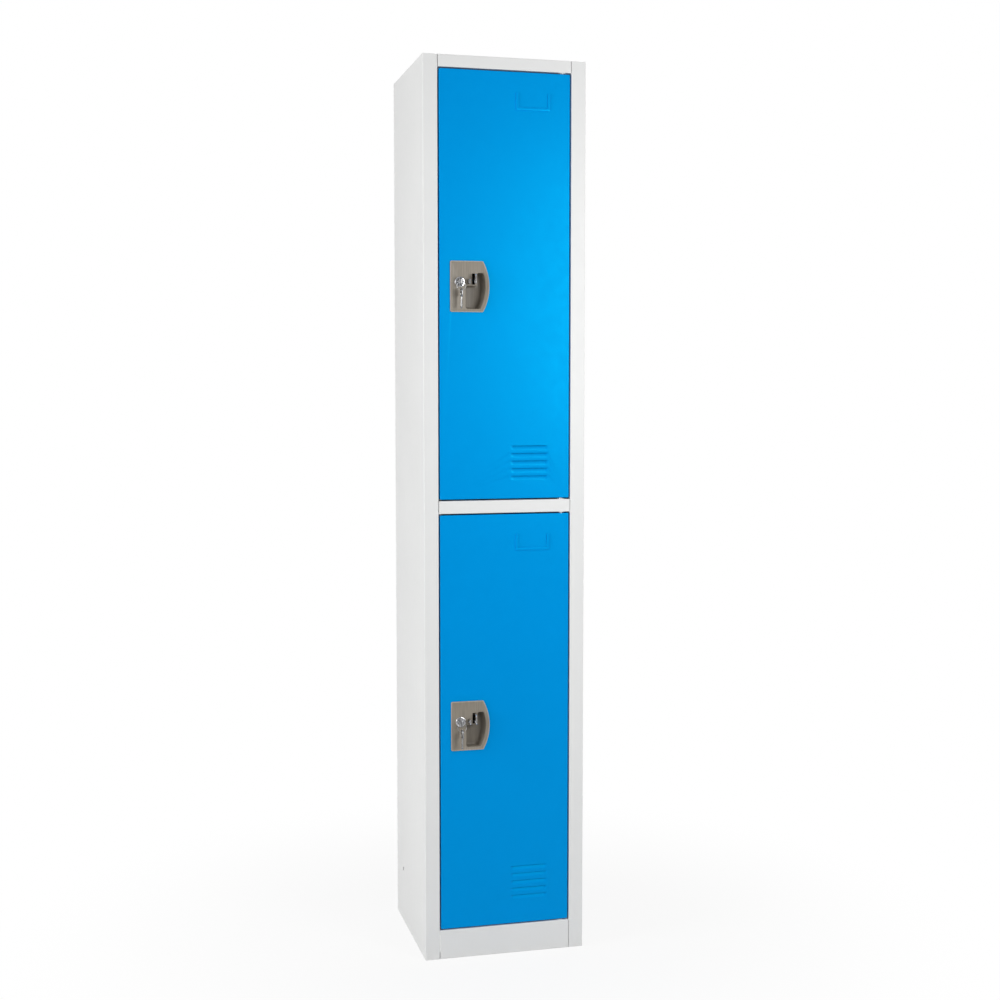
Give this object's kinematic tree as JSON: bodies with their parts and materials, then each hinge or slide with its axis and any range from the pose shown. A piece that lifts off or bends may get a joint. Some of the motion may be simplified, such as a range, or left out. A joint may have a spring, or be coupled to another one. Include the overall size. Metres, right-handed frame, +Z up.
{
  "type": "locker cabinet",
  "caption": "Tall two-tier steel locker with flush hinged doors, louvres, recessed key-lock handles and padlock hooks.",
  "frame": {"origin": "on the floor, under the middle of the bounding box of the whole assembly with its keys", "axes": "+Z up along the cabinet's height, doors face -Y, +X to the viewer's right (the hinge side)"},
  "size_m": [0.336, 0.3446, 1.829],
  "materials": {
    "cabinet_enamel": "light grey gloss powder coat",
    "door_enamel": "bright blue gloss powder coat",
    "handle_moulding": "satin taupe-grey metallic moulding",
    "chrome": "polished chrome plate",
    "key_steel": "nickel-plated brass keys and ring",
    "zinc": "bright zinc plate",
    "nylon": "natural nylon",
    "rubber": "matt black"
  },
  "bodies": {
    "cabinet": {"left_side_panel": "cabinet_enamel", "right_side_panel": "cabinet_enamel", "back_panel": "cabinet_enamel", "top_panel": "cabinet_enamel", "middle_shelf": "cabinet_enamel", "bottom_shelf": "cabinet_enamel", "kick_plate": "cabinet_enamel", "shelf_rails": "cabinet_enamel", "frame_screws": "zinc", "frame_nuts": "zinc", "back_panel_screws": "zinc", "hinge_bushes": "nylon", "door_bumpers": "rubber", "coat_hook_rivets": "zinc", "padlock_hook_rivets": "zinc", "lower_coat_hook": "zinc", "lower_padlock_arm": "chrome", "lower_padlock_hook": "chrome", "upper_coat_hook": "zinc", "upper_padlock_arm": "chrome", "upper_padlock_hook": "chrome"},
    "lower_door": {"lower_door_panel": "door_enamel", "lower_door_stiffener": "door_enamel", "lower_hinge_brackets": "zinc", "lower_hinge_pins": "zinc", "lower_handle_cup": "handle_moulding", "lower_handle_screws": "zinc", "lower_padlock_eye": "chrome", "lower_lock_barrel": "chrome", "lower_lock_nut": "zinc"},
    "lower_lock_core": {"lower_lock_plug": "chrome", "lower_lock_cam": "zinc", "lower_cam_screw": "zinc"},
    "lower_key_in_lock": {"lower_key": "key_steel"},
    "lower_hanging_keys": {"lower_key_ring": "key_steel", "lower_spare_key": "key_steel"},
    "upper_door": {"upper_door_panel": "door_enamel", "upper_door_stiffener": "door_enamel", "upper_hinge_brackets": "zinc", "upper_hinge_pins": "zinc", "upper_handle_cup": "handle_moulding", "upper_handle_screws": "zinc", "upper_padlock_eye": "chrome", "upper_lock_barrel": "chrome", "upper_lock_nut": "zinc"},
    "upper_lock_core": {"upper_lock_plug": "chrome", "upper_lock_cam": "zinc", "upper_cam_screw": "zinc"},
    "upper_key_in_lock": {"upper_key": "key_steel"},
    "upper_hanging_keys": {"upper_key_ring": "key_steel", "upper_spare_key": "key_steel"}
  },
  "joints": [
    {"name": "lower_door_swing", "type": "hinge", "parent": "cabinet", "child": "lower_door", "pos_m": [0.12, -0.13775, 0.48975], "axis": [0, 0, 1], "range_deg": [0, 120]},
    {"name": "lower_key_turn", "type": "hinge", "parent": "lower_door", "child": "lower_lock_core", "pos_m": [-0.094, -0.14575, 0.49375], "axis": [0, 1, 0], "range_deg": [0, 90]},
    {"name": "lower_key_pull", "type": "slide", "parent": "lower_lock_core", "child": "lower_key_in_lock", "axis": [0, -1, 0], "range_m": [0, 0.03]},
    {"name": "lower_ring_swing", "type": "hinge", "parent": "lower_key_in_lock", "child": "lower_hanging_keys", "pos_m": [-0.094, -0.16325, 0.49375], "axis": [-1, 0, 0], "range_deg": [-8, 85]},
    {"name": "upper_door_swing", "type": "hinge", "parent": "cabinet", "child": "upper_door", "pos_m": [0.12, -0.13775, 1.37525], "axis": [0, 0, 1], "range_deg": [0, 120]},
    {"name": "upper_key_turn", "type": "hinge", "parent": "upper_door", "child": "upper_lock_core", "pos_m": [-0.094, -0.14575, 1.38425], "axis": [0, 1, 0], "range_deg": [0, 90]},
    {"name": "upper_key_pull", "type": "slide", "parent": "upper_lock_core", "child": "upper_key_in_lock", "axis": [0, -1, 0], "range_m": [0, 0.03]},
    {"name": "upper_ring_swing", "type": "hinge", "parent": "upper_key_in_lock", "child": "upper_hanging_keys", "pos_m": [-0.094, -0.16325, 1.38425], "axis": [-1, 0, 0], "range_deg": [-8, 85]}
  ]
}
